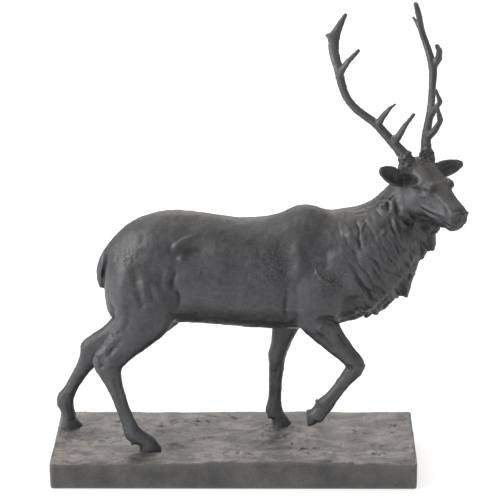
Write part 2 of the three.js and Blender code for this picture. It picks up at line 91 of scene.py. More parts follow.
def softbox(name, place, aim, size, power, colour=(1, 1, 1)):
    """A square area lamp at a place, turned towards an aim."""
    bpy.ops.object.light_add(type="AREA", location=place)
    lamp = bpy.context.object
    lamp.name = name
    lamp.data.shape = "SQUARE"
    lamp.data.size = size
    lamp.data.energy = power
    lamp.data.color = colour
    lamp.rotation_euler = (Vector(aim) - Vector(place)).to_track_quat("-Z", "Y").to_euler()


stag_middle = (0.03, -0.005, 0.22)
far_table = (0, 1.9, 0)
softbox("overhead", (-0.1, 0.45, 2.2), stag_middle, size=2.0, power=24.5, colour=(1.0, 0.965, 0.92))
softbox("front_left", (-1.95, -0.9, 1.25), stag_middle, size=1.4, power=73)
softbox("backdrop", (0, 2.6, 2.0), far_table, size=2.6, power=64, colour=(1.0, 0.97, 0.94))

# The stag: one iron casting with its antlers, ears and tail, walking, with three hooves on the slab. It is
# poured in a sand mould from a modelled pattern, so its forms run softly into each other and the skin is
# grainy. Places on it are in millimetres; MIDDLE is the plane through its back and HEAD_AT is in its skull.
MIDDLE = -5.0
HEAD_AT = np.array((176.5, -8.0, 327.0))
head_turn, head_tilt = math.radians(-50), math.radians(5)
face_ahead = np.array((math.cos(head_turn), math.sin(head_turn), 0.0))
level_left = np.array((-math.sin(head_turn), math.cos(head_turn), 0.0))
head_left = math.cos(head_tilt) * level_left - math.sin(head_tilt) * np.array((0, 0, 1.0))
head_up = math.sin(head_tilt) * level_left + math.cos(head_tilt) * np.array((0, 0, 1.0))


def on_head(place, hand):
    """A place given from the skull: millimetres ahead, outwards on its right (-1) or left (1), and up."""
    ahead_mm, out_mm, up_mm = place
    return HEAD_AT + ahead_mm * face_ahead + hand * out_mm * head_left + up_mm * head_up


def ramp(value, low, high):
    """A smooth step from 0 to 1."""
    t = np.clip((value - low) / (high - low), 0, 1)
    return t * t * (3 - 2 * t)


def use(piece, modifier_type, **settings):
    """Adds a modifier to a piece and applies it."""
    bpy.ops.object.select_all(action="DESELECT")
    piece.select_set(True)
    bpy.context.view_layer.objects.active = piece
    modifier = piece.modifiers.new(modifier_type.lower(), modifier_type)
    for name, value in settings.items():
        setattr(modifier, name, value)
    bpy.ops.object.modifier_apply(modifier=modifier.name)


def thin(piece, triangles):
    """Thins a mesh of four-sided faces to about a number of triangles."""
    use(piece, "DECIMATE", ratio=min(1.0, triangles / (2 * len(piece.data.polygons))))


class Clay:
    """The skin of a piece while it is modelled, in millimetres: its points and which way they face."""

    def __init__(self, piece):
        self.mesh = piece.data
        self.count = len(self.mesh.vertices)
        flat = np.empty(self.count * 3, np.float32)
        self.mesh.vertices.foreach_get("co", flat)
        self.points = flat.reshape(-1, 3).astype(float) * 1000
        links = np.empty(len(self.mesh.edges) * 2, np.int32)
        self.mesh.edges.foreach_get("vertices", links)
        self.links = links.reshape(-1, 2)
        self.settle()

    def settle(self):
        """Puts the points back into the mesh, takes their facing again and gets ready for new strokes."""
        self.mesh.vertices.foreach_set("co", (self.points / 1000).astype(np.float32).ravel())
        self.mesh.update()
        flat = np.empty(self.count * 3, np.float32)
        self.mesh.vertex_normals.foreach_get("vector", flat)
        self.facing = flat.reshape(-1, 3).astype(float)
        self.lift = np.zeros(self.count)
        faces = [tuple(face.vertices) for face in self.mesh.polygons]
        self.tree = BVHTree.FromPolygons([tuple(point) for point in self.points], faces)

    def push(self):
        """Moves each point along its facing by the lift that strokes have gathered."""
        self.points += self.facing * self.lift[:, None]
        self.settle()

    def meet(self, place, towards, reach=80):
        """Where a line that comes from outside, through a place within, first meets the skin."""
        towards = Vector(towards).normalized()
        hit = self.tree.ray_cast(Vector(place) - towards * reach, towards, 2 * reach)[0]
        return np.array(hit if hit else self.tree.find_nearest(Vector(place))[0])

    def average(self, values, rounds):
        """Values at the points, each mixed with its neighbours' a number of times."""
        a, b = self.links.T
        degree = np.maximum(np.bincount(a, minlength=self.count) + np.bincount(b, minlength=self.count), 1)
        for _ in range(rounds):
            near = np.bincount(a, values[b], self.count) + np.bincount(b, values[a], self.count)
            values = 0.5 * values + 0.5 * near / degree
        return values

    def depth(self, rounds):
        """How far each point lies below the skin's own average round it, in millimetres."""
        smooth = np.stack([self.average(values, rounds) for values in self.points.T], 1)
        return ((smooth - self.points) * self.facing).sum(1)

    def around(self, place, size):
        """A value for each point: 1 at a place, fading out over a size, which may differ along each axis."""
        return np.exp(-(((self.points - np.array(place)) / np.array(size)) ** 2).sum(1))

    def stroke(self, places, width, height, ends=0.3):
        """Raises or presses the skin along a line through places on it, fading sideways and at its ends."""
        line = np.array([self.tree.find_nearest(Vector(place))[0] for place in bend(places)])
        low, high = line.min(0) - 3 * width, line.max(0) + 3 * width
        near = np.nonzero(((self.points > low) & (self.points < high)).all(1))[0]
        if not len(near):
            return
        gaps = np.linalg.norm(self.points[near][:, None] - line[None], axis=2)
        along = np.linspace(0, 1, len(line))
        fade = ramp(along, -0.01, ends) * ramp(1 - along, -0.01, ends)
        self.lift[near] += height * fade[gaps.argmin(1)] * np.exp(-((gaps.min(1) / width) ** 2))

    def blob(self, place, size, height):
        """Raises or presses the skin round a place."""
        self.lift += height * self.around(place, size)

    def lump(self, scale, height, where, seed, lean=0):
        """Uneven hand work: waves of a scale along each axis, leaned over, on the part given by a mask."""
        c, s = math.cos(math.radians(lean)), math.sin(math.radians(lean))
        leaned = self.points @ np.array(((c, 0, -s), (0, 1, 0), (s, 0, c)))
        shift = np.array((seed * 17.3, seed * 5.1, seed * 29.7))
        scaled = leaned / np.array(scale) + shift
        for index in np.nonzero(where > 0.01)[0]:
            self.lift[index] += height * where[index] * noise.noise(Vector(scaled[index]))


def bend(points, step=1.5):
    """A smooth line through a few points, with a point at about each step."""
    points = [np.array(point, float) for point in points]
    last = len(points) - 1
    line = []
    for i in range(last):
        before, here, there, after = (points[min(max(k, 0), last)] for k in (i - 1, i, i + 1, i + 2))
        leave, arrive, rise = (there - before) / 2, (after - here) / 2, there - here
        parts = max(2, int(np.linalg.norm(there - here) / step))
        for t in np.arange(parts) / parts:
            curve = 3 * rise - 2 * leave - arrive + t * (leave + arrive - 2 * rise)
            line.append(here + t * (leave + t * curve))
    line.append(points[-1])
    return np.array(line)


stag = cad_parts["stag"].copy()
stag.data = stag.data.copy()
stag.name = "stag_casting"
bpy.context.scene.collection.objects.link(stag)
bpy.ops.object.select_all(action="DESELECT")
stag.select_set(True)
bpy.context.view_layer.objects.active = stag
bpy.ops.object.mode_set(mode="EDIT")
bpy.ops.mesh.select_all(action="SELECT")
bpy.ops.mesh.remove_doubles(threshold=0.00002)
bpy.ops.object.mode_set(mode="OBJECT")

# Balls of clay that fill the corner under the jaw and the fork of each brow tine: place, size, smoothed share
fillets = [(np.array((195.0, -14.0, 257.0)), 5.0, 0.45), (np.array((192.5, -13.0, 261.0)), 5.0, 0.45)]
for hand in (-1, 1):
    fillets.append((on_head((-7, 26.5, 20), hand), 2.4, 0.2))
for place, size, _ in fillets:
    bpy.ops.mesh.primitive_uv_sphere_add(
        segments=16, ring_count=8, radius=size / 1000, location=place / 1000
    )
    bpy.ops.object.transform_apply(location=True, rotation=True, scale=True)
    stag.select_set(True)
    bpy.context.view_layer.objects.active = stag
    bpy.ops.object.join()
use(stag, "REMESH", mode="VOXEL", voxel_size=0.001)

# Where each form of the stag is, so that broad muscle is smoothed further than bone, ears and antlers.
# The share beside a form is how far it is smoothed.
clay = Clay(stag)
head_f, head_l, head_u = ((clay.points - HEAD_AT) @ axis for axis in (face_ahead, head_left, head_up))
head_out = np.abs(head_l)
x, _, z = clay.points.T
antlers = ramp(head_u, 2, 8)
ears = ramp(head_out, 17, 22) * ramp(-head_u, -4, 0) * ramp(head_u, -36, -32) * ramp(-head_f, -26, -20)
head = ramp(head_f, -14, -4) * ramp(head_u, -72, -66)
legs = ramp(-z, -150, -120)
hocks = ramp(z, 88, 102) * ramp(-z, -150, -135) * ramp(-x, 0, 20)
throat_heights = (153, 160, 170, 186, 203, 222, 241, 257)
throat_edge = (92, 113, 135, 155, 169, 179, 188, 194)
past_edge = x - np.interp(z, throat_heights, throat_edge)
throat = ramp(past_edge, -5, 2) * ramp(x, 112, 125) * ramp(-z, -268, -258)
soften = (1 - 0.9 * legs + 0.2 * hocks * legs) * (1 - throat) + 0.1 * throat
eyes = np.exp(-(((head_f - 30) / 9) ** 2 + ((head_out - 14) / 9) ** 2 + ((head_u + 22) / 9) ** 2))
pedicles = ramp(head_u, -22, -14) * ramp(-head_u, -6, 0) * ramp(-head_out, -27, -21) * ramp(-head_f, -20, -12)
tail_line = bend(((-120, MIDDLE, 230), (-127.5, MIDDLE, 209), (-127.5, MIDDLE, 191.5)))
rear = np.nonzero((x < -100) & (z > 180) & (z < 255))[0]
tail = np.zeros(clay.count)
tail[rear] = ramp(-np.linalg.norm(clay.points[rear][:, None] - tail_line[None], axis=2).min(1), -12, -8)
tail *= ramp(-z, -236, -226)
spur = clay.around((-177, 19, 55), 8)
hock_front = clay.around((-105, -31, 120), (7, 14, 8))
forms = [
    (spur, 0.5),
    (hock_front, 0.75),
    (head, 0.16),
    (eyes, 0.28),
    (ears, 0.05),
    (antlers, 0.035),
    (tail, 0.08),
    (pedicles, 0.45),
]
for place, size, share in fillets:
    forms.append((clay.around(place, 1.7 * size), share))
tine_bends = ((-7, 31, 48), (6, 21, 35))
for bend_f, bend_out, bend_u in tine_bends:
    gap = np.abs(head_f - bend_f) + np.abs(head_out - bend_out) + np.abs(head_u - bend_u)
    forms.append((np.exp(-((gap / 8) ** 2)), 0.25))
for form, share in forms:
    soften = soften * (1 - form) + share * form
group = stag.vertex_groups.new(name="soften")
for index, weight in enumerate(soften):
    group.add((index,), float(weight), "REPLACE")
use(stag, "SMOOTH", factor=0.5, iterations=140, vertex_group="soften")
stag.vertex_groups.clear()

# Muscle and bone, each line with its places, width and height: a crease where the height is negative and a
# ridge where it is positive.
clay = Clay(stag)


def other_side(place):
    """The same place on the other flank."""
    return (place[0], 2 * MIDDLE - place[1], place[2])


flank_fold = (
    (-50, -37, 232),
    (-54, -39, 221),
    (-57, -40, 212),
    (-56, -39, 202),
    (-53, -38, 192),
    (-53, -33, 178),
)
body_lines = (
    (((-90, MIDDLE, 262), (0, MIDDLE, 263), (50, MIDDLE, 268), (72, MIDDLE, 276)), 16.0, 0.8),
    (flank_fold, 5.0, -1.9),
    (((-53, -39, 222), (-57, -40, 210), (-56, -39, 203)), 1.7, -1.5),
    (((-55, -39, 203), (-52, -38, 194), (-53, -33, 178)), 1.9, -1.8),
    (((-60, -37, 226), (-63, -40, 212), (-62, -41, 198)), 3.6, 1.2),
    (((-58, -36, 239), (-52, -33, 246), (-43, -29, 251), (-31, -26, 253)), 2.7, 2.0),
    (((-94, -40, 224), (-91, -42, 208), (-88, -45, 193), (-88, -44, 178)), 4.4, -1.4),
    (((-92, -44, 205), (-90, -45, 197), (-87, -45, 190), (-84, -45, 183)), 3.0, -1.0),
    (((-85, -42, 214), (-84, -44, 203), (-83, -45, 190)), 3.6, 1.2),
    (((-80, -43, 209), (-77, -44, 199), (-75, -44, 189)), 3.2, -0.8),
    (((-75, -42, 211), (-71, -42, 200), (-68, -42, 187)), 3.8, 1.1),
    (((-99, -33, 228), (-100, -38, 218), (-99, -41, 207)), 6.0, 0.9),
    (((52, -36, 236), (52, -39, 212), (50, -40, 191), (52, -36, 174)), 6.5, -2.1),
    (((53, -40, 204), (52, -40, 192), (51, -37, 179), (53, -31, 166)), 2.2, -1.8),
    (((60, -36, 252), (64, -40, 232), (62, -42, 212)), 5.6, 1.5),
    (((78, -35, 229), (82, -39, 219), (87, -42, 213), (95, -42, 210), (103, -40, 209)), 1.2, 1.0),
    (((-60, -12, 271), (0, -12, 264), (50, -12, 270)), 7.0, -0.5),
    (((-122, -11, 232), (-123, -14, 221), (-124, -13, 209), (-123, -12, 195)), 2.2, -2.7),
)
body_swells = (
    ((-36, -34, 241), (12, 12, 7), -2.9),
    ((-48, -37, 233), (3, 6, 3.4), 2.2),
    ((66, MIDDLE, 276), (18, 16, 12), 1.1),
    ((46, -33, 240), (11, 14, 14), -1.4),
    ((85, -34, 232), (5, 6, 2.5), 1.1),
    ((-104, -34, 224), (12, 14, 12), 0.8),
    ((70, -40, 190), (14, 16, 20), 1.4),
    ((0, -40, 200), (40, 16, 30), 0.8),
)
for places, width, height in body_lines:
    clay.stroke(places, width, height)
    clay.stroke([other_side(place) for place in places], width, height)
for place, size, height in body_swells:
    clay.blob(place, size, height)
    clay.blob(other_side(place), size, height)

# Tendons and joints of the legs, first on the near side and then on the far one
near_leg_lines = (
    (((78, -43, 171), (86, -43, 175), (96, -38, 172), (102, -33, 165)), 1.9, -1.7),
    (((91, -41, 170), (87, -43, 168), (83, -43, 165), (85, -43, 159), (88, -43, 157)), 1.7, 1.5),
    (((95, -40, 168), (97, -40, 159), (100, -41, 147)), 2.6, 1.4),
    (((101, -35, 167), (107, -34, 156), (113, -35, 145)), 2.2, 0.9),
    (((84, -44, 156), (91, -42, 148), (99, -40, 138)), 3.0, -1.3),
    (((101, -38, 162), (105, -39, 153), (112, -38, 140)), 1.8, -0.8),
    (((113, -37, 126), (118, -37, 118)), 2.4, -0.9),
    (((109, -37, 102), (98, -36, 88), (90, -36, 77)), 2.0, -1.0),
    (((-107, -40, 153), (-115, -39, 141), (-122, -38, 131)), 3.0, -1.3),
    (((-124, -31, 154), (-131, -31, 141), (-137, -31, 129)), 3.0, 0.9),
    (((-131, -35, 133), (-129, -37, 126), (-126, -38, 119)), 3.2, -1.5),
    (((-117, -38, 112), (-111, -38, 88), (-104, -39, 62)), 2.0, -0.9),
    (((-100, -43, 190), (-101, -41, 172), (-106, -40, 156)), 4.0, -1.0),
)
leg_swells = (
    ((-119, -39, 126), (5, 6, 6), 1.5),
    ((-107, -31, 117), (8, 13, 8), 1.4),
    ((-155, 19, 123), (5, 9, 6), 2.2),
    ((87, -30, 63), (6, 13, 6), 2.3),
    ((80, -30, 57), (5, 13, 5), 2.0),
    ((-138, -31, 125), (3, 7, 3.4), 1.9),
    ((-117, -37, 154), (2.2, 4, 2.2), -1.6),
    ((-110, -40, 158), (2.2, 4, 2.2), -1.6),
    ((-118, -38, 139), (3, 4, 2.4), -1.4),
    ((116, -38, 126), (6, 6, 7), 0.8),
    ((88, -44, 165), (8, 8, 6), 1.4),
)
far_leg_lines = (
    (((44, 12, 104), (40, 12, 80), (38, 12, 56)), 2.0, -0.9),
    (((60, 10, 160), (52, 10, 140), (47, 11, 122)), 3.0, -1.0),
    (((-141, 28, 116), (-156, 28, 88), (-168, 28, 64)), 2.0, -0.9),
    (((-110, 30, 150), (-128, 28, 130)), 3.0, -1.2),
)
for places, width, height in near_leg_lines + far_leg_lines:
    clay.stroke(places, width, height)
for place, size, height in leg_swells:
    clay.blob(place, size, height)
clay.push()

# The mane: wavy locks laid from the jaw down to the chest, each over the root of the next, flowing round
# towards the throat, where they end in hanging tufts.
NECK_LOW, NECK_HIGH = np.array((88.0, -5.0, 211.0)), np.array((182.0, -2.0, 288.0))
NAPE_LOW, NAPE_HIGH = np.array((-0.07, 0.0, 1.0)), np.array((-0.36, 0.0, 0.93))
CLUMPS, STRANDS = 30, 104


def on_neck(share, turn):
    """A place on the neck: its share of the way up, and degrees from the nape over the near side."""
    middle = NECK_LOW + share * (NECK_HIGH - NECK_LOW)
    nape = NAPE_LOW + share * (NAPE_HIGH - NAPE_LOW)
    outward = math.cos(math.radians(turn)) * nape - math.sin(math.radians(turn)) * np.array((0, 1.0, 0))
    return clay.meet(middle, -outward)


def comb(places, half_width, height, strands):
    """Raises one lock along a line, full in the middle, pointed at its tip and combed into strands."""
    line = np.array([clay.tree.find_nearest(Vector(place))[0] for place in bend(places)])
    low, high = line.min(0) - 2 * half_width, line.max(0) + 2 * half_width
    near = np.nonzero(((clay.points > low) & (clay.points < high)).all(1))[0]
    if not len(near):
        return
    gaps = clay.points[near][:, None] - line[None]
    which = np.linalg.norm(gaps, axis=2).argmin(1)
    gap = gaps[np.arange(len(near)), which]
    ahead = np.gradient(line, axis=0)[which]
    ahead /= np.linalg.norm(ahead, axis=1)[:, None]
    across = np.cross(clay.facing[near], ahead)
    along = which / (len(line) - 1)
    width = half_width * (0.5 + 0.5 * np.sin(np.pi * np.clip(along, 0, 1) ** 0.8)) * (1 - 0.75 * along**4)
    off = (gap * across).sum(1) / width
    inside = (np.abs(off) < 1) & (np.abs((gap * ahead).sum(1)) < 2.5)
    swell = ramp(along, 0, 0.55) * (1 - ramp(along, 0.9, 1.0))
    ripple = 1 - 0.13 * (1 - np.cos(np.pi * strands * off)) * ramp(along, 0.1, 0.4)
    rise = height * swell * np.sqrt(np.clip(1 - off**2, 0, 1)) * ripple
    mane_rise[near] = np.where(inside, np.maximum(mane_rise[near], rise), mane_rise[near])


def hair_path(hand, share, turn, reach):
    """A wavy line down the neck as hair falls on it: straight down by the head, and forward lower down."""
    rise = reach * np.interp(share, (0.4, 0.85), (0.12, 0.0))
    swing = reach * np.interp(share, (0.4, 0.85), (62, 46))
    curl = chance.uniform(-7, 7)
    return [
        on_neck(share + rise * step, -hand * (turn + swing * step + curl * math.sin(2 * math.pi * step)))
        for step in (0, 0.25, 0.5, 0.75, 1)
    ]


def scattered(index):
    """A share of the way up the neck for each lock, spread evenly and in no order."""
    return 0.02 + 0.96 * ((index * 0.618) % 1)


chance = np.random.default_rng(11)
mane_rise = np.zeros(clay.count)
for hand in (-1, 1):
    for clump in range(CLUMPS):
        turn = 8 + 125 * (clump + 0.5) / CLUMPS
        path = hair_path(hand, scattered(clump), turn, chance.uniform(0.7, 1.2))
        comb(path, chance.uniform(6, 11), chance.uniform(1.2, 2.6), chance.choice((1, 2)))
    for strand in range(STRANDS):
        turn = 8 + 135 * (strand + 0.5) / STRANDS
        path = hair_path(hand, scattered(strand), turn, chance.uniform(0.4, 1.0))
        raised = strand % 3 == 0
        width = chance.uniform(1.3, 2.4) if raised else chance.uniform(0.8, 1.5)
        height = chance.uniform(0.3, 1.0) if raised else -chance.uniform(0.3, 1.4)
        clay.stroke(path, width, height, ends=0.45)
x, _, z = clay.points.T
mane_heights = (158, 170, 182, 190, 213, 235, 255, 275)
mane_edge = (115, 117, 121, 124, 124, 111, 102, 94)
past_edge = x - np.interp(z, mane_heights, mane_edge)
maned = ramp(past_edge, -7, 6) * ramp(z, 155, 160) * (1 - head) * (1 - antlers) * (1 - ears)
calm_nape = 0.5 * ramp(z, 222, 246) * ramp(-x, -152, -128)
maned *= 1 - calm_nape
clay.lift = (clay.lift + mane_rise) * maned
clay.lump((2.6, 5, 15), 0.5, maned, 12, lean=28)

# Deep slits and strands that stand out in the mane of the near side, and rough tufts under the chest
mane_lines = (
    (((152, -24, 296), (150, -22, 291), (149, -20, 286)), 1.3, -2.4),
    (((145, -10, 292), (143, -13, 288), (142, -15, 284)), 1.3, -2.2),
    (((148, -20, 287), (148, -24, 282), (149, -27, 277)), 1.4, -2.4),
    (((151, -22, 290), (146, -20, 283), (141, -20, 277)), 1.6, 1.2),
    (((127, -26, 267), (122, -30, 260), (119, -33, 253)), 1.8, 1.4),
    (((122, -27, 264), (121, -34, 254), (123, -39, 243)), 1.5, -1.6),
    (((153, -28, 274), (157, -33, 263), (160, -32, 251)), 1.5, 1.3),
    (((150, -30, 272), (154, -34, 261), (157, -34, 250)), 1.2, -1.3),
    (((159, -34, 234), (166, -27, 225), (170, -20, 215), (172, -10, 198)), 1.6, -1.8),
    (((168, -30, 245), (171, -26, 235), (172, -22, 225)), 1.5, -1.6),
    (((109, -39, 235), (116, -41, 224), (122, -41, 213), (135, -33, 190), (146, -26, 182)), 2.0, -2.2),
    (((134, -40, 225), (139, -40, 218), (142, -39, 212)), 1.6, -1.5),
    (((115, -38, 243), (119, -40, 239), (122, -41, 236)), 1.6, -1.3),
    (((113, -10, 273), (128, -10, 277), (141, -12, 287)), 1.4, -0.7),
    (((112, -16, 270), (126, -17, 273), (140, -18, 283)), 1.4, -0.7),
)
for places, width, height in mane_lines:
    clay.stroke(places, width, height)
under_chest = ramp(x, 110, 124) * ramp(-z, -192, -176) * ramp(z, 150, 156) * (1 - head)
clay.lump((4, 6, 9), 1.6, under_chest, 14, lean=50)
clay.push()

# The head, with brows, eyes, cheeks, nostrils and mouth, the cupped ears and the knots of the antlers.
# What is on its right side is repeated on its left.
face_lines = (
    (((12, 17, -22), (18, 16.5, -20.5), (27, 16.5, -19.5), (35, 14.5, -19)), 2.0, 0.4),
    (((12, 17, -25), (18, 16.5, -22), (23, 16, -19.5)), 1.5, 1.3),
    (((32, 15.5, -18.5), (36, 15, -20.5), (37.5, 14, -25)), 1.7, 1.5),
    (((11, 17.5, -27), (20, 17, -26.5), (29, 17, -25.5), (34, 15.5, -25.5)), 2.2, -1.3),
    (((20, 17, -30), (28, 16.5, -30.5), (34, 14.5, -30)), 1.4, 0.8),
    (((38, 13.5, -22), (46, 10.5, -29), (60, 10, -37), (64, 9.5, -40)), 2.6, 0.5),
    (((37, 13, -27), (46, 10, -34), (56, 10, -41)), 3.0, -0.8),
    (((22, 15.5, -38.5), (32, 13.3, -41.5), (44, 11, -43.5), (57, 11, -44.5)), 1.9, 1.0),
    (((25, 14.8, -42), (34, 12.5, -45.3), (44, 10, -47)), 1.4, -0.8),
    (((27, 14, -45), (35, 11.5, -48.5), (47, 9.5, -50)), 1.7, 0.8),
    (((30, 13, -49), (38, 11, -52), (48, 10, -54)), 1.5, 0.6),
    (((-3, 19, -33), (-1, 21, -46), (5, 20, -56), (14, 13, -62), (26, 8, -61)), 2.4, -2.6),
    (((16, 16, -56), (28, 12, -54), (40, 10, -56)), 3.0, -1.2),
    (((2, 17, -19), (12, 16.5, -19), (20, 16, -17.5)), 3.6, -2.0),
    (((60, 11, -43.5), (65, 6, -40.3), (66.5, 0, -39.8)), 1.3, 1.5),
    (((62, 9.5, -47), (66, 5, -46), (67, 0, -45.5)), 2.8, -1.4),
    (((50, 10, -51.5), (58, 10.5, -52.5), (63, 7, -52.5), (65, 0, -52.5)), 1.1, -1.3),
    (((6, 0, -3), (20, 0, -9), (34, 0, -17)), 5.0, -0.4),
)
face_swells = (
    ((8, 17, -44), 11, 3.2),
    ((27, 17, -26.2), 2.8, 1.5),
    ((31, 17, -25.5), 2.2, -1.6),
    ((63.5, 8.5, -44.5), 1.6, -0.6),
    ((56, 7, -57), 5, 0.8),
    ((20, 16, -40), 5, -0.9),
)
ear_lines = (
    (((6, 24, -19), (7, 34, -14), (9, 46, -10)), 3.6, -2.0),
    (((5, 22, -25), (6, 34, -22), (8, 46, -16)), 1.5, 0.9),
)
antler_knots = (
    ((-7, 22.5, 17), 4.5, 0.5),
    ((-19, 34, 33), 4.5, 0.7),
    ((-51, 66, 71), 3, -1.0),
    ((-71, 60, 107), 4, 0.9),
)
for hand in (-1, 1):
    for places, width, height in face_lines + ear_lines:
        clay.stroke([on_head(place, hand) for place in places], width, height)
    for place, size, height in face_swells + antler_knots:
        clay.blob(on_head(place, hand), size, height)
clay.push()

# Where the two sides differ: the left brow and burr and the bends of the left tines are fuller, and the right
# antler has a round knob. Both antlers are rough where they leave the crown and uneven along the beams.
left_swells = (
    ((5, 15, 3), 3.5, -1.4),
    ((5.5, 17, -3), 4, 1.2),
    ((31, 14, -16), 4.5, 1.8),
)
for place, size, height in left_swells:
    clay.blob(on_head(place, 1), size, height)
for place in tine_bends:
    clay.blob(on_head(place, 1), 5, 0.9)
clay.blob(on_head((-71.5, 60, 107), -1), 3.5, 1.1)
left_antler = ramp(head_l, 0, 10)
clay.lift += left_antler * (0.35 * ramp(head_u, 50, 70) + 0.45 * ramp(head_u, 106, 122))
clay.points += np.outer(ramp(head_u, 100, 128) * left_antler, (-1.8, 0, 3.2))
crown = ramp(head_u, -17, -9) * ramp(-head_u, -7, -1) * ramp(head_f, -24, -12) * ramp(-head_f, -15, -5)
crown *= ramp(-head_out, -27, -23)
clay.lump(3.0, 1.9, crown, 3)
clay.lump(2.6, 0.3, antlers, 4)

# Uneven hand work all over, and a pitted skin in a few places
clay.lump(14, 0.55, (1 - antlers) * (1 - head), 1)
clay.lump(5, 0.35, (1 - antlers) * (1 - 0.4 * head), 2)
pitted_places = (
    ((-104, -32, 234), 13),
    ((40, -36, 228), 16),
    ((-117, -38, 148), 8),
    ((96, -40, 214), 16),
    ((48, 18, 33), 13),
)
pitted = sum(clay.around(place, size) for place, size in pitted_places)
clay.lump(2.1, 0.75, np.clip(pitted, 0, 1), 5)
clay.push()
thin(stag, triangles=194000)
bpy.ops.object.shade_smooth()

# The finish of the iron: a dark grey, dull coat that is thinner and lighter on ridges, with painted light on
# the ears, antlers and upper near foreleg; dusty where it faces up, with painted warm light on the tops;
# darker in the hollows as grime and painted shade, and painted shade on faces turned down. The mesh holds how
# strong each of these is at each point.
clay = Clay(stag)


def keep(piece, name, values):
    """Keeps a value for each point on a piece's mesh, for its material to read."""
    layer = piece.data.attributes.new(name, "FLOAT", "POINT")
    layer.data.foreach_set("value", np.clip(values, 0, 1).astype(np.float32))


fine, broad = clay.depth(3), clay.depth(24)
out_of_head = np.abs((clay.points - HEAD_AT) @ head_left) * ramp(clay.points[:, 2], 290, 300)
beside_head = ramp(out_of_head, 18, 24)
# Painted shade: darker on faces turned down, and in the hollows, there partly as grime; mostly kept off the
# ears and antlers
under = 1.5 * ramp(-clay.facing[:, 2], 0.05, 0.9)
deep = 1.6 * np.clip(fine, 0, None) + 0.55 * np.clip(broad, 0, None) + under
keep(stag, "hollow", (1 - 0.85 * beside_head) * deep)
# Painted light: lighter on the ears against the shade in their hollows, and painted sheen on the antlers and
# upper near foreleg
painted_light = 0.75 * beside_head + 0.45 * ramp((clay.points - HEAD_AT) @ head_up, 4, 16)
painted_light += 0.4 * clay.around((94, -41, 161), (11, 9, 13))
muddy = clay.around((50, 20, 34), (19, 15, 9))
keep(stag, "ridge", 1.4 * np.clip(-fine, 0, None) + 0.4 * np.clip(-broad, 0, None) + painted_light + 0.7 * muddy)
keep(stag, "skyward", ramp(clay.facing[:, 2], 0.1, 0.95) + muddy)
keep(stag, "pitted", sum(clay.around(place, size) for place, size in pitted_places))


def feed(tree, socket, value):
    """Links a socket to an output, or sets it to a plain value."""
    if hasattr(value, "links"):
        tree.links.new(value, socket)
    else:
        socket.default_value = value


def texture(tree, kind, coordinates, **inputs):
    """A texture node on the piece's own coordinates, in metres."""
    node = tree.nodes.new(kind)
    for name, value in inputs.items():
        node.inputs[name.replace("_", " ")].default_value = value
    tree.links.new(coordinates, node.inputs["Vector"])
    return node


def mix(tree, factor, first, second, blend="MIX"):
    """Mixes two colours, each a socket or a value."""
    node = tree.nodes.new("ShaderNodeMix")
    node.data_type = "RGBA"
    node.blend_type = blend
    factor_in, first_in, second_in = (node.inputs[index] for index in (0, 6, 7))
    feed(tree, factor_in, factor)
    feed(tree, first_in, first)
    feed(tree, second_in, second)
    colour_out = node.outputs[2]
    return colour_out


def stretch(tree, value, low, high, to_low=0.0, to_high=1.0):
    """A value read between two limits and spread over two others."""
    node = tree.nodes.new("ShaderNodeMapRange")
    for name, number in (("From Min", low), ("From Max", high), ("To Min", to_low), ("To Max", to_high)):
        node.inputs[name].default_value = number
    tree.links.new(value, node.inputs["Value"])
    return node.outputs["Result"]


def combine(tree, operation, first, second):
    """Sums, products and the like of two values, each a socket or a number."""
    node = tree.nodes.new("ShaderNodeMath")
    node.operation = operation
    feed(tree, node.inputs[0], first)
    feed(tree, node.inputs[1], second)
    return node.outputs[0]


# One effect for both castings: mottled coat, wear with painted sheen, grime with painted shade, and sand
# grain
casting = bpy.data.node_groups.new("sand_casting", "ShaderNodeTree")
for name, kind in (
    ("Coat", "NodeSocketColor"),
    ("Dirt_and_shade", "NodeSocketColor"),
    ("Top_colour", "NodeSocketColor"),
    ("Metal_and_sheen", "NodeSocketColor"),
    ("Hollow", "NodeSocketFloat"),
    ("Ridge", "NodeSocketFloat"),
    ("Skyward", "NodeSocketFloat"),
    ("Pitted", "NodeSocketFloat"),
    ("Mottle", "NodeSocketFloat"),
):
    casting.interface.new_socket(name, in_out="INPUT", socket_type=kind)
for name, kind in (
    ("Color", "NodeSocketColor"),
    ("Roughness", "NodeSocketFloat"),
    ("Height", "NodeSocketFloat"),
):
    casting.interface.new_socket(name, in_out="OUTPUT", socket_type=kind)
given = casting.nodes.new("NodeGroupInput").outputs
result = casting.nodes.new("NodeGroupOutput").inputs
place = casting.nodes.new("ShaderNodeTexCoord").outputs["Object"]
cloud = texture(casting, "ShaderNodeTexNoise", place, Scale=38, Detail=4, Roughness=0.6).outputs["Fac"]
sand = texture(casting, "ShaderNodeTexNoise", place, Scale=620, Detail=3, Roughness=0.65).outputs["Fac"]
pits = texture(casting, "ShaderNodeTexVoronoi", place, Scale=480, Randomness=1).outputs["Distance"]
pit = stretch(casting, pits, 0.1, 0.42, 1, 0)
ragged = texture(casting, "ShaderNodeTexNoise", place, Scale=190, Detail=2).outputs["Fac"]
ragged = stretch(casting, ragged, 0.38, 0.6)
patches = combine(casting, "MULTIPLY", given["Pitted"], ragged)
few = combine(casting, "MAXIMUM", stretch(casting, cloud, 0.56, 0.76, 0, 0.5), patches)
coat = mix(casting, stretch(casting, cloud, 0.3, 0.7, 0, 0.75), given["Coat"], given["Metal_and_sheen"])
# Lighter and warmer where the skin faces up: dust, and on the stag painted warm light on the tops
top_share = combine(casting, "MULTIPLY", given["Skyward"], stretch(casting, sand, 0.3, 0.7, 0.45, 1))
coat = mix(casting, top_share, coat, given["Top_colour"])
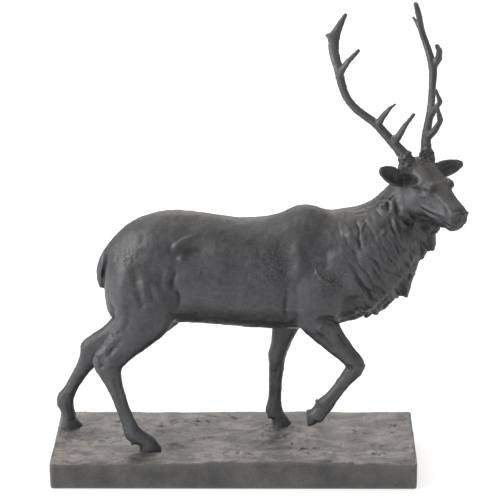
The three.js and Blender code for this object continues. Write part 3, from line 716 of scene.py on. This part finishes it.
# Lighter where the ridge layer says: worn ridges, plus painted light and sheen on the stag's ears, antlers
# and foreleg
coat = mix(casting, given["Ridge"], coat, given["Metal_and_sheen"])
# Painted shade: mixed towards the dark colour in the hollows and, on the stag, under its body
coat = mix(casting, given["Hollow"], coat, given["Dirt_and_shade"])
speck = stretch(casting, sand, 0.25, 0.75, 0.66, 1.34)
coat = mix(casting, 1.0, coat, speck, "MULTIPLY")
blotch = texture(casting, "ShaderNodeTexNoise", place, Scale=45, Detail=6, Roughness=0.68).outputs["Fac"]
spread = combine(casting, "MULTIPLY", given["Mottle"], stretch(casting, given["Skyward"], 0, 1, 0.7, 1))
uneven = combine(casting, "MULTIPLY", spread, stretch(casting, blotch, 0.3, 0.7, -1, 1))
coat = mix(casting, 1.0, coat, combine(casting, "ADD", uneven, 1.0), "MULTIPLY")
filled = combine(casting, "MULTIPLY", pit, combine(casting, "MULTIPLY", few, 0.85))
coat = mix(casting, filled, coat, given["Dirt_and_shade"])
chips = combine(casting, "MULTIPLY", patches, stretch(casting, sand, 0.56, 0.68))
coat = mix(casting, chips, coat, given["Metal_and_sheen"])
dull = stretch(casting, cloud, 0.3, 0.7, 0.36, 0.56)
dull = combine(casting, "ADD", dull, combine(casting, "MULTIPLY", given["Skyward"], 0.08))
height = combine(casting, "SUBTRACT", sand, combine(casting, "MULTIPLY", pit, few))
feed(casting, result["Color"], coat)
feed(casting, result["Roughness"], dull)
feed(casting, result["Height"], height)


def iron_finish(name, coat, dirt_and_shade, top_colour, metal_and_sheen, mottle, metallic, bump):
    """A material of the casting effect, with its own colours and strength of grain."""
    finish = bpy.data.materials.new(name)
    finish.use_nodes = True
    tree = finish.node_tree
    shader = tree.nodes["Principled BSDF"]
    shader.inputs["Metallic"].default_value = metallic
    shader.inputs["Specular IOR Level"].default_value = 0.5
    effect = tree.nodes.new("ShaderNodeGroup")
    effect.node_tree = casting
    for socket, colour in (("Coat", coat), ("Dirt_and_shade", dirt_and_shade), ("Top_colour", top_colour), ("Metal_and_sheen", metal_and_sheen)):
        effect.inputs[socket].default_value = (*colour, 1)
    effect.inputs["Mottle"].default_value = mottle
    for socket in ("Hollow", "Ridge", "Skyward", "Pitted"):
        layer = tree.nodes.new("ShaderNodeAttribute")
        layer.attribute_name = socket.lower()
        tree.links.new(layer.outputs["Fac"], effect.inputs[socket])
    relief = tree.nodes.new("ShaderNodeBump")
    relief.inputs["Strength"].default_value = bump
    relief.inputs["Distance"].default_value = 0.0006
    feed(tree, shader.inputs["Base Color"], effect.outputs["Color"])
    feed(tree, shader.inputs["Roughness"], effect.outputs["Roughness"])
    feed(tree, relief.inputs["Height"], effect.outputs["Height"])
    feed(tree, shader.inputs["Normal"], relief.outputs["Normal"])
    return finish


stag_iron = iron_finish(
    "stag_iron",
    coat=(0.0292, 0.0302, 0.0348),
    dirt_and_shade=(0.008, 0.008, 0.009),
    top_colour=(0.042, 0.039, 0.036),
    metal_and_sheen=(0.058, 0.059, 0.062),
    mottle=0.32,
    metallic=0.15,
    bump=0.5,
)
stag.data.materials.clear()
stag.data.materials.append(stag_iron)
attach(stag, "root")
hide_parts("stag")

# The base: an iron slab cast under the hooves, with plain upright sides, rounded edges and a top modelled
# as trodden earth that is heaped a little round each hoof. The level is that of the earth between the heaps.
base_low, base_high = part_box("base")
earth_level = 0.0285
base_high[2] = earth_level
bpy.ops.object.select_all(action="DESELECT")
bpy.ops.mesh.primitive_cube_add(size=1, location=(base_low + base_high) / 2)
base = bpy.context.object
base.name = "ground_slab"
base.scale = base_high - base_low
bpy.ops.object.transform_apply(location=True, rotation=True, scale=True)
bpy.ops.object.mode_set(mode="EDIT")
bpy.ops.mesh.select_all(action="SELECT")
bpy.ops.mesh.bevel(offset=0.0026, segments=4, affect="EDGES")
bpy.ops.object.mode_set(mode="OBJECT")
use(base, "REMESH", mode="VOXEL", voxel_size=0.0011)

ridge_line = bend(((-66, -20, 28), (-40, -6, 28), (0, 8, 28), (34, 20, 28)))


def facing_up(skin):
    """Where the skin of the slab is its top."""
    return ramp(skin.facing[:, 2], 0.3, 0.9)


def off_hoof(skin, hoof_x, hoof_y, length=19, width=14):
    """How far each point lies from the middle of a hoof, seen from above, in its lengths and widths."""
    return np.hypot((skin.points[:, 0] - hoof_x) / length, (skin.points[:, 1] - hoof_y) / width)


def off_ridge(skin):
    """How far each point lies from the low ridge across the ground, seen from above."""
    return np.linalg.norm(skin.points[:, None, :2] - ridge_line[None, ::2, :2], axis=2).min(1)


clay = Clay(base)
x, y, z = clay.points.T
half_length = 180
top = facing_up(clay) * ramp(z, 18, 26)
sides = ramp(z, 2, 8) * (1 - top)
within = ramp(half_length - np.abs(x), 2, 14)
hoof_heaps = ((47.0, 20.0, 7.5), (-81.0, -33.0, 2.0), (-164.5, 20.0, 3.0))
for hoof_x, hoof_y, heap in hoof_heaps:
    away = off_hoof(clay, hoof_x, hoof_y)
    clay.lift += heap * top * within * np.exp(-((away / 1.15) ** 2))
    clay.lift += 0.8 * top * within * np.exp(-((away / 2.2) ** 2))
inner = top * (1 - 0.75 * ramp(y, 40, 55))
clay.lump((40, 22, 30), 2.4, inner, 6)
clay.lump((17, 11, 12), 1.9, inner, 7)
clay.lump((7, 5, 6), 0.6, inner, 8)
clay.lump(24, 0.5, sides, 9)
clay.lift += 1.6 * top * ramp(y, 36, 58)
gap = off_ridge(clay)
clay.lift += top * (1.3 * np.exp(-((gap / 9) ** 2)) + 1.2 * np.exp(-((gap / 3) ** 2)))
clay.lift -= 0.6 * top
clay.push()
near_edge_swell = 2.6 * np.exp(-(((x - 25) / 85) ** 2)) * ramp(-y, 44, 60) * ramp(z, 12, 27)
clay.points[:, 2] += near_edge_swell
clay.settle()

# Short cracks in the earth, in loose clusters: the middle of each and how many
chance = np.random.default_rng(5)
clusters = (
    ((78, -28), 20),
    ((46, -18), 7),
    ((-51, 37), 10),
    ((-128, 33), 8),
    ((-12, 45), 8),
    ((154, 24), 9),
    ((115, 12), 8),
    ((-3, -38), 8),
    ((-130, -10), 8),
    ((25, 10), 7),
    ((140, -35), 6),
)
reach_x, reach_y = 174, 55
for (middle_x, middle_y), cracks in clusters:
    for _ in range(cracks):
        path = [np.array((middle_x + chance.normal(0, 11), middle_y + chance.normal(0, 5), 28.0))]
        heading = chance.uniform(-0.4, 0.4)
        for _ in range(3):
            heading += chance.uniform(-0.8, 0.8)
            along = np.array((math.cos(heading), math.sin(heading), 0))
            path.append(path[-1] + chance.uniform(2, 5) * along)
        if all(abs(px) < reach_x and abs(py) < reach_y for px, py, _ in path):
            clay.stroke(path, chance.uniform(0.7, 1.0), -chance.uniform(0.6, 1.6))
clay.lump(2.6, 0.3, facing_up(clay) * ramp(z, 18, 26), 10)
clay.push()
flat_under = clay.points[:, 2] < 0.6
clay.points[:, 2] = np.where(flat_under, 0, clay.points[:, 2])
clay.settle()
thin(base, triangles=185000)

# The finish of the base: the same coat, dusty in streaks on top, with a painted highlight along the low ridge
# and painted shadow round the hooves, darker in its cracks and hollows as grime and painted shade, and rubbed
# bare along its foot
clay = Clay(base)
fine, broad = clay.depth(3), clay.depth(24)
# Painted shade: darker in the cracks and hollows of the earth, partly as grime
keep(base, "hollow", 1.7 * np.clip(fine, 0, None) + 0.55 * np.clip(broad, 0, None))
foot_wear = 0.8 * ramp(-clay.points[:, 2], -2.2, -0.8)
keep(base, "ridge", 1.2 * np.clip(-fine, 0, None) + 0.5 * np.clip(-broad, 0, None) + foot_wear)
clay.lump((34, 11, 14), 1.7, np.ones(clay.count), 11)
clay.lump((12, 5, 6), 1.0, np.ones(clay.count), 12)
streaks = clay.lift
# Dusty streaks on top, and a painted highlight along the crest of the low ridge
streaked_top_and_painted_light = 0.52 + streaks + 0.6 * np.exp(-((off_ridge(clay) / 2.6) ** 2))
# Painted shadow round each hoof
for hoof_x, hoof_y, _ in hoof_heaps:
    streaked_top_and_painted_light -= 0.45 * np.exp(-((off_hoof(clay, hoof_x, hoof_y) / 1.35) ** 2))
keep(base, "skyward", facing_up(clay) * np.clip(streaked_top_and_painted_light, 0.05, 1))
bpy.ops.object.shade_smooth()
base_iron = iron_finish(
    "base_iron",
    coat=(0.0312, 0.0308, 0.0310),
    dirt_and_shade=(0.012, 0.011, 0.010),
    top_colour=(0.196, 0.177, 0.161),
    metal_and_sheen=(0.104, 0.099, 0.095),
    mottle=0.26,
    metallic=0.1,
    bump=0.7,
)
base.data.materials.clear()
base.data.materials.append(base_iron)
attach(base, "root")
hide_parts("base")
